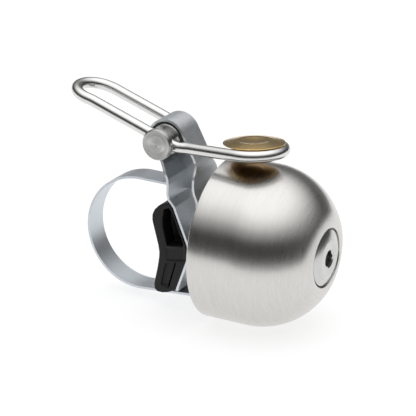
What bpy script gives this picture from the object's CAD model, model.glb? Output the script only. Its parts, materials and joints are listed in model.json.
"""Looks of the compact strap-mounted bicycle bell, built around its CAD frame. Metres."""
import json
import math

import bmesh
import bpy
from mathutils import Matrix, Vector

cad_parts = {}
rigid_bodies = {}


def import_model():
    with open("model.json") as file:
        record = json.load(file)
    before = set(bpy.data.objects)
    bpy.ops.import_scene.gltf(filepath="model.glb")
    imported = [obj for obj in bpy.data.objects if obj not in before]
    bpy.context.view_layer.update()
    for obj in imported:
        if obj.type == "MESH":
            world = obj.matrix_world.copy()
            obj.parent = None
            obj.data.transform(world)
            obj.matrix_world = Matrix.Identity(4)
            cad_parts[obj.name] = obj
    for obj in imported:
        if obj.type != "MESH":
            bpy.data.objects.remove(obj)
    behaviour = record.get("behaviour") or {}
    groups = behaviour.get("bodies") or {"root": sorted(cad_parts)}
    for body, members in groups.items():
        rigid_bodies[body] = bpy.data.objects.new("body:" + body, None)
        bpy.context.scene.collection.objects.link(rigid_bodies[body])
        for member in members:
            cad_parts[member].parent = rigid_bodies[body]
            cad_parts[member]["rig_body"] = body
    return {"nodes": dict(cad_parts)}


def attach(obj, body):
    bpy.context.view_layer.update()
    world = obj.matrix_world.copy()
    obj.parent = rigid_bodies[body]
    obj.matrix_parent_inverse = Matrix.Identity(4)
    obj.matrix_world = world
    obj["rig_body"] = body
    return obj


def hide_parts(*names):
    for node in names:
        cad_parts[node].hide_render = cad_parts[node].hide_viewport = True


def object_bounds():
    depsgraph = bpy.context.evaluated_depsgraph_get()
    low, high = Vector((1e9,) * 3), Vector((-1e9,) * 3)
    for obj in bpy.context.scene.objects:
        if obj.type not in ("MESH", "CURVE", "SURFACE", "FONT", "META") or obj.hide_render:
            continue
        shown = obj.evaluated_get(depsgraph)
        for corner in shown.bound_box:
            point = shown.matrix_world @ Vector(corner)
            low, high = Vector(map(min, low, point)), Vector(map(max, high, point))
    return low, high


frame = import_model()
cad_low, cad_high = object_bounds()
nodes = frame["nodes"]

MM = 0.001
# a point on each axis that turned marks run round, in millimetres
DOME_AXIS = (0.0, 0.0, 2.3)
AXLE_AXIS = (0.0, -6.0, 21.35)
HAMMER_AXIS = (0.0, -23.9, 23.17)


# ---- camera ----
LENS, SENSOR = 210.2, 36.0
CAMERA_RIGHT = (0.46660, -0.88396, 0.03027)
CAMERA_BACK = (-0.83316, -0.42779, 0.35049)
CAMERA_PLACE = (-0.4057, -0.2225, 0.1781)


def make_camera():
    data = bpy.data.cameras.new("camera")
    data.lens, data.sensor_width = LENS, SENSOR
    data.clip_start, data.clip_end = 0.01, 20.0
    camera = bpy.data.objects.new("camera", data)
    bpy.context.scene.collection.objects.link(camera)
    right = Vector(CAMERA_RIGHT).normalized()
    back = Vector(CAMERA_BACK).normalized()
    up = back.cross(right).normalized()
    right = up.cross(back)
    place = Matrix((right, up, back)).transposed().to_4x4()
    place.translation = Vector(CAMERA_PLACE)
    camera.matrix_world = place
    bpy.context.scene.camera = camera


# ---- floor and world ----
# brightness all round by elevation in degrees: bright overhead, dark just above the horizon
SKY = [(-90, 0.9), (-20, 0.8), (-12, 0.45), (-5, 0.1), (6, 0.04), (19, 0.05), (32, 0.42), (44, 1.0),
       (62, 1.5), (90, 1.5)]
# a pale card behind the object, towards +X and a little +Y
CARD_TOWARDS, CARD_FROM, CARD_FULL, CARD_LIGHT = (0.89, 0.457, 0.0), 0.55, 0.9, 0.16
FLOOR_R, FLOOR_MIDDLE, FLOOR_BELOW = 1.6, (1.355, 0.69), 0.1 * MM


def ramp_stops(ramp, stops, grey=True):
    while len(ramp.elements) < len(stops):
        ramp.elements.new(0.5)
    for element, (position, value) in zip(ramp.elements, stops):
        element.position = position
        element.color = (value, value, value, 1.0) if grey else (*value, 1.0)


def make_world():
    """Soft light by elevation and a card, seen by the object only: the camera sees plain white."""
    world = bpy.data.worlds.new("studio")
    bpy.context.scene.world = world
    world.use_nodes = True
    tree = world.node_tree
    tree.nodes.clear()
    add, link = tree.nodes.new, tree.links.new
    where = add("ShaderNodeTexCoord")
    split = add("ShaderNodeSeparateXYZ")
    link(where.outputs["Generated"], split.inputs[0])
    to_unit = add("ShaderNodeMapRange")
    to_unit.inputs["From Min"].default_value = -1.0
    link(split.outputs["Z"], to_unit.inputs["Value"])
    ramp = add("ShaderNodeValToRGB")
    ramp.color_ramp.interpolation = "EASE"
    ramp_stops(ramp.color_ramp, [(0.5 + 0.5 * math.sin(math.radians(e)), v) for e, v in SKY])
    link(to_unit.outputs["Result"], ramp.inputs["Fac"])
    towards = add("ShaderNodeVectorMath")
    towards.operation = "DOT_PRODUCT"
    link(where.outputs["Generated"], towards.inputs[0])
    towards.inputs[1].default_value = CARD_TOWARDS
    card = add("ShaderNodeMapRange")
    card.interpolation_type = "SMOOTHSTEP"
    for socket, value in (("From Min", CARD_FROM), ("From Max", CARD_FULL), ("To Max", CARD_LIGHT)):
        card.inputs[socket].default_value = value
    link(towards.outputs["Value"], card.inputs["Value"])
    brighter = add("ShaderNodeMath")
    brighter.operation = "MAXIMUM"
    link(ramp.outputs["Color"], brighter.inputs[0])
    link(card.outputs["Result"], brighter.inputs[1])
    light = add("ShaderNodeBackground")
    link(brighter.outputs[0], light.inputs["Color"])
    light.inputs["Strength"].default_value = 1.0
    plain = add("ShaderNodeBackground")
    plain.inputs["Color"].default_value = (1.0, 1.0, 1.0, 1.0)
    path = add("ShaderNodeLightPath")
    mix = add("ShaderNodeMixShader")
    link(path.outputs["Is Camera Ray"], mix.inputs["Fac"])
    link(light.outputs[0], mix.inputs[1])
    link(plain.outputs[0], mix.inputs[2])
    out = add("ShaderNodeOutputWorld")
    link(mix.outputs[0], out.inputs["Surface"])


def make_floor():
    mesh = bpy.data.meshes.new("floor")
    bm = bmesh.new()
    bmesh.ops.create_circle(bm, cap_ends=True, radius=FLOOR_R, segments=64)
    bm.to_mesh(mesh)
    bm.free()
    floor = bpy.data.objects.new("floor", mesh)
    floor.location = (*FLOOR_MIDDLE, cad_low.z - FLOOR_BELOW)
    bpy.context.scene.collection.objects.link(floor)
    mat = bpy.data.materials.new("pale_floor")
    mat.use_nodes = True
    tree = mat.node_tree
    shader = tree.nodes["Principled BSDF"]
    shader.inputs["Base Color"].default_value = (0.35, 0.35, 0.35, 1.0)
    shader.inputs["Roughness"].default_value = 1.0
    shader.inputs["Specular IOR Level"].default_value = 0.0
    shader.inputs["Emission Color"].default_value = (1.0, 1.0, 1.0, 1.0)
    shader.inputs["Emission Strength"].default_value = 0.75
    mesh.materials.append(mat)


# ---- materials ----
class Look:
    """A node material, with short calls for what the finishes below have in common."""

    def __init__(self, name, colour, metallic, roughness):
        self.mat = bpy.data.materials.new(name)
        self.mat.use_nodes = True
        self.tree = self.mat.node_tree
        self.shader = self.tree.nodes["Principled BSDF"]
        self.set("Base Color", (*colour, 1.0))
        self.set("Metallic", metallic)
        self.set("Roughness", roughness)
        self.normal = None
        self.place = self.scaled()

    def set(self, socket, value):
        self.shader.inputs[socket].default_value = value

    def new(self, kind, **settings):
        node = self.tree.nodes.new("ShaderNode" + kind)
        for name, value in settings.items():
            setattr(node, name, value)
        return node

    def link(self, source, target):
        self.tree.links.new(source, target)

    def math(self, operation, a, b=None):
        node = self.new("Math", operation=operation)
        for socket, value in zip(node.inputs, (a, b)):
            if isinstance(value, (int, float)):
                socket.default_value = value
            elif value is not None:
                self.link(value, socket)
        return node.outputs[0]

    def scaled(self):
        """Object coordinates in millimetres."""
        where = self.new("TexCoord")
        scale = self.new("VectorMath", operation="SCALE")
        scale.inputs["Scale"].default_value = 1.0 / MM
        self.link(where.outputs["Object"], scale.inputs[0])
        return scale.outputs[0]

    def stretched(self, stretch):
        """The place with each axis multiplied, so that a noise on it is drawn out."""
        node = self.new("VectorMath", operation="MULTIPLY")
        self.link(self.place, node.inputs[0])
        node.inputs[1].default_value = stretch
        return node.outputs[0]

    def round_axis(self, axis, centre):
        """Distance along and around an axis: (along, radius, sine, cosine)."""
        shift = self.new("VectorMath", operation="SUBTRACT")
        self.link(self.place, shift.inputs[0])
        shift.inputs[1].default_value = centre
        split = self.new("SeparateXYZ")
        self.link(shift.outputs[0], split.inputs[0])
        along = split.outputs[axis]
        a, b = [split.outputs[k] for k in range(3) if k != axis]
        radius = self.math("SQRT", self.math("ADD", self.math("MULTIPLY", a, a), self.math("MULTIPLY", b, b)))
        radius = self.math("MAXIMUM", radius, 0.05)
        return along, radius, self.math("DIVIDE", a, radius), self.math("DIVIDE", b, radius)

    def noise(self, vector, scale, detail=2.0, roughness=0.5, w=None):
        node = self.new("TexNoise", noise_dimensions="4D" if w is not None else "3D")
        self.link(vector, node.inputs["Vector"])
        if w is not None:
            self.link(w, node.inputs["W"])
        node.inputs["Scale"].default_value = scale
        node.inputs["Detail"].default_value = detail
        node.inputs["Roughness"].default_value = roughness
        return node.outputs["Fac"]

    def turned(self, axis, centre, fine, sweep):
        """Marks that run round an axis: fine is marks per millimetre, sweep how often they break."""
        along, radius, sine, cosine = self.round_axis(axis, centre)
        join = self.new("CombineXYZ")
        self.link(self.math("MULTIPLY", sine, sweep), join.inputs[0])
        self.link(self.math("MULTIPLY", cosine, sweep), join.inputs[1])
        self.link(self.math("MULTIPLY", along, fine), join.inputs[2])
        return self.noise(join.outputs[0], 1.0, 3.0, 0.6, w=self.math("MULTIPLY", radius, fine))

    def span(self, value, low, high, from_low=0.3, from_high=0.7):
        node = self.new("MapRange")
        self.link(value, node.inputs["Value"])
        node.inputs["From Min"].default_value = from_low
        node.inputs["From Max"].default_value = from_high
        node.inputs["To Min"].default_value = low
        node.inputs["To Max"].default_value = high
        return node.outputs["Result"]

    def tone(self, value, *shades):
        """Base colour from a texture: shades are (texture value, colour), lowest value first."""
        node = self.new("ValToRGB")
        ramp_stops(node.color_ramp, shades, grey=False)
        self.link(value, node.inputs["Fac"])
        self.link(node.outputs["Color"], self.shader.inputs["Base Color"])

    def rough(self, value, low, high):
        self.link(self.span(value, low, high), self.shader.inputs["Roughness"])

    def bump(self, value, height):
        """Height is in millimetres, from the texture's 0 to its 1."""
        node = self.new("Bump")
        node.inputs["Distance"].default_value = height * MM
        self.link(value, node.inputs["Height"])
        if self.normal is not None:
            self.link(self.normal, node.inputs["Normal"])
        self.normal = node.outputs["Normal"]
        self.link(self.normal, self.shader.inputs["Normal"])

    def grain(self, axis, amount):
        """Stretches highlights across marks that run round an axis."""
        node = self.new("Tangent", direction_type="RADIAL", axis="XYZ"[axis])
        self.link(node.outputs["Tangent"], self.shader.inputs["Tangent"])
        self.set("Anisotropic", amount)
        self.set("Anisotropic Rotation", 0.25)


def shade(colour, factor):
    return tuple(min(1.0, c * factor) for c in colour)


def dome_look():
    look = Look("brushed_dome_steel", (0.63, 0.62, 0.60), 1.0, 0.3)
    fine = look.turned(1, DOME_AXIS, 6.0, 5.0)
    broad = look.turned(1, DOME_AXIS, 1.6, 1.5)
    both = look.math("ADD", look.math("MULTIPLY", fine, 0.75), look.math("MULTIPLY", broad, 0.25))
    look.tone(both, (0.25, (0.57, 0.56, 0.54)), (0.75, (0.69, 0.68, 0.655)))
    look.rough(both, 0.26, 0.32)
    look.grain(1, 0.6)
    return look.mat


def screw_look():
    look = Look("turned_screw_steel", (0.62, 0.62, 0.61), 1.0, 0.22)
    fine = look.turned(1, DOME_AXIS, 6.0, 0.8)
    along, radius, _, _ = look.round_axis(1, DOME_AXIS)
    inside = look.span(radius, 0.12, 1.0, 1.45, 1.6)
    deep = look.span(along, 1.0, 0.12, -41.3, -41.1)
    shown = look.math("MULTIPLY", fine, look.math("MAXIMUM", inside, deep))
    look.tone(shown, (0.08, (0.02, 0.02, 0.02)), (0.2, (0.5, 0.5, 0.495)), (0.75, (0.64, 0.64, 0.63)))
    look.rough(fine, 0.18, 0.26)
    look.bump(fine, 0.0004)
    look.grain(1, 0.3)
    return look.mat


def axle_look():
    look = Look("turned_axle_steel", (0.50, 0.50, 0.49), 1.0, 0.28)
    fine = look.turned(0, AXLE_AXIS, 7.0, 0.7)
    look.tone(fine, (0.35, (0.36, 0.36, 0.35)), (0.65, (0.66, 0.66, 0.645)))
    look.rough(fine, 0.26, 0.38)
    look.bump(fine, 0.0015)
    look.grain(0, 0.9)
    return look.mat


def brass_look(name, dark, light):
    look = Look(name, dark, 1.0, 0.24)
    fine = look.turned(2, HAMMER_AXIS, 7.0, 0.7)
    cloud = look.noise(look.place, 0.35, 3.0)
    both = look.math("ADD", look.math("MULTIPLY", fine, 0.7), look.math("MULTIPLY", cloud, 0.3))
    look.tone(both, (0.3, dark), (0.7, light))
    look.rough(both, 0.17, 0.23)
    look.bump(fine, 0.0003)
    look.grain(2, 0.6)
    return look.mat


def sheet_look(name, colour, roughness, stretch, pits=0.004):
    """Rolled or pressed sheet: a satin with a fine grain, soft clouds and a few darker pits."""
    look = Look(name, colour, 1.0, roughness)
    roll = look.noise(look.stretched(stretch), 1.0, 3.0, 0.6)
    fine = look.noise(look.place, 9.0, 2.0, 0.6)
    both = look.math("ADD", look.math("MULTIPLY", roll, 0.55), look.math("MULTIPLY", fine, 0.45))
    look.tone(both, (0.3, shade(colour, 0.84)), (0.7, shade(colour, 1.1)))
    look.rough(both, roughness - 0.07, roughness + 0.09)
    look.bump(fine, pits)
    return look.mat


def wire_look():
    look = Look("polished_wire_steel", (0.70, 0.70, 0.69), 1.0, 0.2)
    cloud = look.noise(look.place, 0.8, 3.0)
    drawn = look.noise(look.stretched((9.0, 0.9, 9.0)), 1.0, 2.0)
    both = look.math("ADD", look.math("MULTIPLY", cloud, 0.5), look.math("MULTIPLY", drawn, 0.5))
    look.tone(both, (0.3, (0.65, 0.65, 0.64)), (0.7, (0.72, 0.72, 0.71)))
    look.rough(both, 0.19, 0.23)
    look.bump(drawn, 0.0004)
    return look.mat


def rubber_look():
    look = Look("moulded_rubber", (0.006, 0.006, 0.006), 0.0, 0.5)
    fine = look.noise(look.place, 14.0, 3.0, 0.6)
    cloud = look.noise(look.place, 0.5, 3.0)
    both = look.math("ADD", look.math("MULTIPLY", fine, 0.5), look.math("MULTIPLY", cloud, 0.5))
    look.tone(both, (0.3, (0.003, 0.003, 0.003)), (0.7, (0.009, 0.009, 0.0085)))
    look.rough(both, 0.42, 0.58)
    look.set("Specular IOR Level", 0.35)
    look.bump(fine, 0.006)
    return look.mat


def plastic_look(name, colour):
    look = Look(name, colour, 0.0, 0.4)
    fine = look.noise(look.place, 10.0, 2.0)
    look.tone(fine, (0.3, shade(colour, 0.8)), (0.7, shade(colour, 1.15)))
    look.rough(fine, 0.32, 0.48)
    look.bump(fine, 0.004)
    return look.mat


LOOKS = {
    "dome_steel": dome_look(),
    "screw_steel": screw_look(),
    "turned_steel": axle_look(),
    "brass": brass_look("turned_brass", (0.92, 0.60, 0.22), (1.0, 0.79, 0.42)),
    "dark_brass": brass_look("tarnished_brass", (0.34, 0.19, 0.055), (0.55, 0.34, 0.12)),
    "wire_steel": wire_look(),
    "bracket_steel": sheet_look("pressed_bracket_steel", (0.76, 0.79, 0.82), 0.42, (1.2, 5.0, 5.0)),
    "strap_steel": sheet_look("rolled_strap_steel", (0.68, 0.72, 0.76), 0.42, (6.0, 0.4, 0.4)),
    "plain_steel": sheet_look("plain_steel", (0.50, 0.505, 0.51), 0.34, (3.0, 3.0, 3.0)),
    "spring_steel": sheet_look("dull_spring_steel", (0.34, 0.345, 0.36), 0.38, (3.0, 3.0, 3.0)),
    "rubber": rubber_look(),
    "bush_plastic": plastic_look("dark_bush_plastic", (0.03, 0.03, 0.033)),
    "nylon": plastic_look("pale_nylon", (0.72, 0.72, 0.69)),
}
SLOT = {
    "dome": "dome_steel", "clamp_screw": "screw_steel", "head_washer": "nylon", "seat_bush": "rubber",
    "post_washer": "plain_steel", "post": "plain_steel", "end_clip": "spring_steel",
    "yoke": "plain_steel", "strap": "strap_steel", "strap_rivets": "plain_steel",
    "bracket": "bracket_steel", "pad": "rubber", "eye_bush_left": "bush_plastic",
    "eye_bush_right": "bush_plastic", "torsion_spring": "spring_steel", "axle": "turned_steel",
    "axle_cap": "turned_steel", "wire_bail": "wire_steel", "hammer_disc": "brass",
    "hammer_striker": "brass", "hammer_rivet": "brass",
}
# looks that differ from the slot's own
DARK = {"hammer_striker": "dark_brass", "hammer_rivet": "dark_brass"}


# ---- pieces ----
HARD_ANGLE = 28.0          # degrees: edges sharper than this are rounded, and shaded as edges
SCREW_HARD_ANGLE = 24.0
FLAT_ANGLE = 0.6           # degrees: facets flatter than this are one face
SAME_POINT = 0.002 * MM
ROUND_STEPS = 3
PAD_VOXEL, PAD_SOFTENING = 0.13 * MM, 9


def smooth_over(bm, sharp):
    """Smooth shading, broken at edges sharper than this many degrees."""
    for face in bm.faces:
        face.smooth = True
    for edge in bm.edges:
        edge.smooth = len(edge.link_faces) != 2 or edge.calc_face_angle(0.0) < math.radians(sharp)


def paint(obj, node):
    look = DARK.get(node, SLOT[node])
    obj.data.materials.clear()
    obj.data.materials.append(LOOKS[look])


def piece(bm, node):
    """The object made of this mesh, which stands for a CAD node and moves with its body."""
    mesh = bpy.data.meshes.new(node + "_look")
    bm.to_mesh(mesh)
    bm.free()
    obj = bpy.data.objects.new(node + "_look", mesh)
    bpy.context.scene.collection.objects.link(obj)
    stand_for(obj, node)
    return obj


def stand_for(obj, node):
    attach(obj, nodes[node]["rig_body"])
    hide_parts(node)
    paint(obj, node)


def rounded(node, width):
    """A copy of a CAD node with its hard edges rounded this wide, which stands for the node."""
    source = nodes[node]
    bm = bmesh.new()
    bm.from_mesh(source.data)
    bmesh.ops.remove_doubles(bm, verts=bm.verts, dist=SAME_POINT)
    bmesh.ops.dissolve_limit(bm, angle_limit=math.radians(FLAT_ANGLE), verts=bm.verts, edges=bm.edges)
    sharp = math.radians(HARD_ANGLE)
    hard = [e for e in bm.edges if len(e.link_faces) == 2 and e.calc_face_angle(0.0) > sharp]
    bmesh.ops.bevel(bm, geom=hard, offset=width * MM, offset_type="OFFSET", segments=ROUND_STEPS,
                    profile=0.5, affect="EDGES", clamp_overlap=True)
    smooth_over(bm, HARD_ANGLE)
    level_caps(piece(bm, node))


def level_caps(obj):
    """Keeps flat faces flat in the shading, next to their rounded edges."""
    obj.modifiers.new("level", "WEIGHTED_NORMAL").keep_sharp = True


# ---- the wire ----
# millimetres from MOUTH, the middle of the dome's mouth
MOUTH = Vector((0, -18.1, 2.3))
WIRE_R = 1.17
LEG_X = 4.53                                                     # half the width between the legs
LEG_ANGLE, LOOP_ANGLE = math.radians(18.2), math.radians(12)     # rise of the legs and the thumb loop
TILT, LEAN = math.radians(5), math.radians(3.6)                  # of the ring round the hammer
RING_R, RING_END = 6.18, math.radians(45)
THUMB = Vector((0, 29.5, 24.93))
RING = Vector((0, -5.7, 19.4))
LEG_POINT = Vector((0, 12.1, 19.33))                             # where the legs pass the axle
REAR_BEND, FRONT_BEND, KNEE_BEND = 8.0, 6.5, 8.0
KNEE_RUN, FREE_END = 1.4, 2.6
RING_STEPS, THUMB_STEPS, LONGEST_STEP = 60, 48, 1.2


def meet(a, along_a, b, along_b):
    """Where two lines in the plane x = 0 cross."""
    to = b - a
    cross = along_a.y * along_b.z - along_a.z * along_b.y
    return a + along_a * ((to.y * along_b.z - to.z * along_b.y) / cross)


def fillet(before, corner, after, radius, steps=14):
    """The points of an arc that rounds a corner."""
    u, v = (before - corner).normalized(), (after - corner).normalized()
    half = u.angle(v) / 2
    reach = radius / math.tan(half)
    centre = corner + (u + v).normalized() * (radius / math.sin(half))
    start, end = corner + u * reach - centre, corner + v * reach - centre
    turn = start.angle(end)
    return [centre + (start * math.sin(turn * (1 - k / steps)) + end * math.sin(turn * k / steps))
            / math.sin(turn) for k in range(steps + 1)]


def hammer_plane(across, behind):
    """A point in the plane of the ring round the hammer, on the side drawn at +X."""
    lean = Matrix.Rotation(-LEAN, 3, "Y")
    tilt = Matrix.Rotation(-TILT, 3, "X")
    return RING + tilt @ (lean @ Vector((across, behind, 0)))


def wire_path():
    """The wire's middle line in millimetres, from its end at the hammer to its end in the far axle end."""
    leg = Vector((0, math.cos(LEG_ANGLE), math.sin(LEG_ANGLE)))
    loop = Vector((0, math.cos(LOOP_ANGLE), math.sin(LOOP_ANGLE)))
    flat = Vector((0, math.cos(TILT), -math.sin(TILT)))
    rear = meet(LEG_POINT, leg, THUMB, loop)
    side = RING + Vector((0, math.sin(TILT), math.cos(TILT))) * (LEG_X * math.tan(LEAN))
    front = meet(LEG_POINT, leg, side, flat)
    front_start = (front - side).length - FRONT_BEND * math.tan((LEG_ANGLE + TILT) / 2)
    knee = Vector((LEG_X / math.cos(LEAN), front_start - KNEE_RUN))
    last = math.pi / 2 - (math.atan2(knee.x, knee.y) + math.acos(RING_R / knee.length))
    first = -math.pi - RING_END
    ring = []
    for k in range(RING_STEPS + 1):
        a = first + (last - first) * k / RING_STEPS
        ring.append(hammer_plane(RING_R * math.cos(a), RING_R * math.sin(a)))
    out = Vector((LEG_X, 0, 0))
    knee_p = hammer_plane(knee.x, knee.y)
    near = ring + fillet(ring[-1], knee_p, front + out, KNEE_BEND)
    near += fillet(knee_p, front + out, rear + out, FRONT_BEND)
    near += fillet(front + out, rear + out, THUMB + out, REAR_BEND)
    near = [Vector((-p.x, p.y, p.z)) for p in near]
    for k in range(THUMB_STEPS + 1):
        a = math.pi - math.pi * k / THUMB_STEPS
        near.append(THUMB + Vector((LEG_X * math.cos(a), 0, 0)) + loop * (LEG_X * math.sin(a)))
    far_end = LEG_POINT - leg * FREE_END + out
    near += fillet(THUMB + out, rear + out, far_end, REAR_BEND) + [far_end]
    return [p + MOUTH for p in near]


def densify(points, step):
    """The same line with no stretch longer than step."""
    out = [points[0]]
    for a, b in zip(points, points[1:]):
        count = max(1, math.ceil((b - a).length / step))
        out += [a.lerp(b, k / count) for k in range(1, count + 1)]
    return out


def sweep(points, radius, sides=32, ease=0.2):
    """A round rod along a line, with eased ends. Millimetres in, metres out."""
    points = densify(points, LONGEST_STEP)
    first, last = (points[1] - points[0]).normalized(), (points[-1] - points[-2]).normalized()
    stations = [(points[0], radius - ease), (points[0] + first * ease, radius)]
    stations += [(p, radius) for p in points[1:-1]]
    stations += [(points[-1] - last * ease, radius), (points[-1], radius - ease)]
    bm = bmesh.new()
    rings, normal = [], first.orthogonal().normalized()
    for i, (p, r) in enumerate(stations):
        a, b = stations[max(0, i - 1)][0], stations[min(len(stations) - 1, i + 1)][0]
        along = (b - a).normalized()
        normal = (normal - along * normal.dot(along)).normalized()
        side = along.cross(normal)
        turns = [2 * math.pi * k / sides for k in range(sides)]
        rings.append([bm.verts.new((p + (normal * math.cos(t) + side * math.sin(t)) * r) * MM)
                      for t in turns])
    for a, b in zip(rings, rings[1:]):
        for k in range(sides):
            bm.faces.new((a[k], a[(k + 1) % sides], b[(k + 1) % sides], b[k]))
    bm.faces.new(rings[0][::-1])
    bm.faces.new(rings[-1])
    bm.normal_update()
    for face in bm.faces:
        face.smooth = len(face.verts) == 4
    return bm


# ---- the dome ----
# millimetres: radius, straight skirt and wall, then the two arcs of the crown and the recess in the nose
DOME_R, DOME_SKIRT, WALL = 16.41, 8.9, 1.1
CROWN_R, CROWN_ANGLE, NOSE_R = 15.18, math.radians(57.24), 6.92
RECESS_R, SEAT, BOSS_R, HOLE_R = 5.98, 21.4, 6.93, 3.0
LIP = 0.25
SPIN_STEPS = 192


def arc(centre, radius, start, end, steps):
    turns = [start + (end - start) * k / steps for k in range(steps + 1)]
    return [(centre[0] + radius * math.cos(t), centre[1] + radius * math.sin(t)) for t in turns]


def dome_profile():
    """The dome in section, as (radius, distance in front of the mouth), in one closed line."""
    crown = (DOME_R - CROWN_R, DOME_SKIRT)
    reach = CROWN_R - NOSE_R
    nose = (crown[0] + reach * math.cos(CROWN_ANGLE), crown[1] + reach * math.sin(CROWN_ANGLE))
    edge = math.acos((RECESS_R + 0.3 - nose[0]) / NOSE_R)
    inner_edge = math.acos((BOSS_R - nose[0]) / (NOSE_R - WALL))
    quarter = math.pi / 2
    line = arc((DOME_R - LIP, LIP), LIP, -quarter, 0, 6)
    line += [(DOME_R, DOME_SKIRT * k / 6) for k in range(1, 6)]
    line += arc(crown, CROWN_R, 0, CROWN_ANGLE, 36) + arc(nose, NOSE_R, CROWN_ANGLE, edge, 14)[1:]
    top = line[-1][1]
    line += [(RECESS_R + 0.14, top - 0.04), (RECESS_R + 0.04, top - 0.14), (RECESS_R, top - 0.3)]
    line += [(RECESS_R, SEAT), (HOLE_R, SEAT), (HOLE_R, SEAT - 1), (BOSS_R, SEAT - 1)]
    line += arc(nose, NOSE_R - WALL, inner_edge, CROWN_ANGLE, 8)
    line += arc(crown, CROWN_R - WALL, CROWN_ANGLE, 0, 24)[1:]
    line += arc((DOME_R - WALL + LIP, LIP), LIP, math.pi, quarter * 3, 6)
    return line


def spin(line, closed, sharp):
    """A section turned about the dome's axis. Either number of a point may be a function of the turn."""
    bm = bmesh.new()
    rings = []
    for k in range(SPIN_STEPS):
        t = 2 * math.pi * k / SPIN_STEPS
        ring = []
        for radius, ahead in line:
            r = radius(t) if callable(radius) else radius
            f = ahead(t) if callable(ahead) else ahead
            place = Vector((r * math.cos(t) + MOUTH.x, MOUTH.y - f, MOUTH.z + r * math.sin(t)))
            ring.append(bm.verts.new(place * MM))
        rings.append(ring)
    for k in range(SPIN_STEPS):
        a, b = rings[k], rings[(k + 1) % SPIN_STEPS]
        for i in range(len(line) - (not closed)):
            j = (i + 1) % len(line)
            bm.faces.new((a[i], a[j], b[j], b[i]))
    if not closed:
        bm.faces.new([ring[0] for ring in rings])
        bm.faces.new([ring[-1] for ring in rings])
    bmesh.ops.recalc_face_normals(bm, faces=bm.faces)
    smooth_over(bm, sharp)
    return bm


# ---- the clamp screw ----
# radii and distances in front of the dome's mouth, in millimetres
SHANK_R, HEAD_R, FLAT_R = 2.0, 5.7, 3.7
HEAD, RIM, FLAT, TAIL = 21.75, 22.55, 23.3, 5.2
SOCKET, SOCKET_DEEP, SOCKET_MOUTH = 3.0, 1.7, 1.95
THREAD, THREAD_DEEP, TURNS = 0.7, 0.25, 26


def hexagon(t):
    """Radius of the socket's outline at this turn."""
    sixth = math.pi / 3
    return SOCKET / 2 / math.cos((t % sixth) - sixth / 2)


def screw_profile():
    """The screw in section, from the tail's middle round to the bottom of the socket."""
    line = [(SHANK_R - 0.3, -TAIL), (SHANK_R, 0.3 - TAIL), (SHANK_R, 0.5 - TAIL)]
    line += [(SHANK_R - 0.3, 0.5 - TAIL), (SHANK_R - 0.3, 0.95 - TAIL), (SHANK_R, 0.95 - TAIL)]
    for k in range(TURNS):
        start = 1.2 - TAIL + THREAD * k
        line += [(SHANK_R, start), (SHANK_R - THREAD_DEEP, start + THREAD / 2)]
    line += [(SHANK_R, HEAD - 0.5), (SHANK_R, HEAD), (HEAD_R - 0.08, HEAD), (HEAD_R, HEAD + 0.08)]
    line += [(HEAD_R, RIM - 0.1), (HEAD_R - 0.03, RIM - 0.02), (HEAD_R - 0.12, RIM + 0.045)]
    line += [(FLAT_R + 0.1, FLAT - 0.037), (FLAT_R + 0.02, FLAT - 0.012), (FLAT_R - 0.08, FLAT)]
    line += [(SOCKET_MOUTH + 0.05, FLAT), (SOCKET_MOUTH, FLAT - 0.02)]
    line += [(hexagon, lambda t: FLAT - (SOCKET_MOUTH - hexagon(t)) / 1.5)]
    line += [(hexagon, FLAT - SOCKET_DEEP), (0.3, FLAT - SOCKET_DEEP - 0.1)]
    return line


def moulded_pad():
    """The saddle pad with its edges softened as moulded rubber, which stands for the CAD pad."""
    source = nodes["pad"]
    obj = bpy.data.objects.new("pad_look", source.data.copy())
    bpy.context.scene.collection.objects.link(obj)
    weld = obj.modifiers.new("weld", "WELD")
    weld.merge_threshold = SAME_POINT
    remesh = obj.modifiers.new("remesh", "REMESH")
    remesh.mode, remesh.voxel_size, remesh.use_smooth_shade = "VOXEL", PAD_VOXEL, True
    soften = obj.modifiers.new("soften", "SMOOTH")
    soften.factor, soften.iterations = 0.5, PAD_SOFTENING
    stand_for(obj, "pad")


# ---- the scene ----
# how wide each edge is rounded, in millimetres
ROUNDED = {"bracket": 0.07, "strap": 0.1, "axle": 0.06, "axle_cap": 0.06,
           "hammer_disc": 0.05, "hammer_striker": 0.08, "eye_bush_left": 0.06, "eye_bush_right": 0.06}

make_camera()
make_world()
make_floor()
for name, node in nodes.items():
    paint(node, name)
for name, width in ROUNDED.items():
    rounded(name, width)
moulded_pad()
piece(spin(dome_profile(), True, HARD_ANGLE), "dome")
level_caps(piece(spin(screw_profile(), False, SCREW_HARD_ANGLE), "clamp_screw"))
piece(sweep(wire_path(), WIRE_R), "wire_bail")

bpy.context.scene.view_settings.view_transform = "Standard"
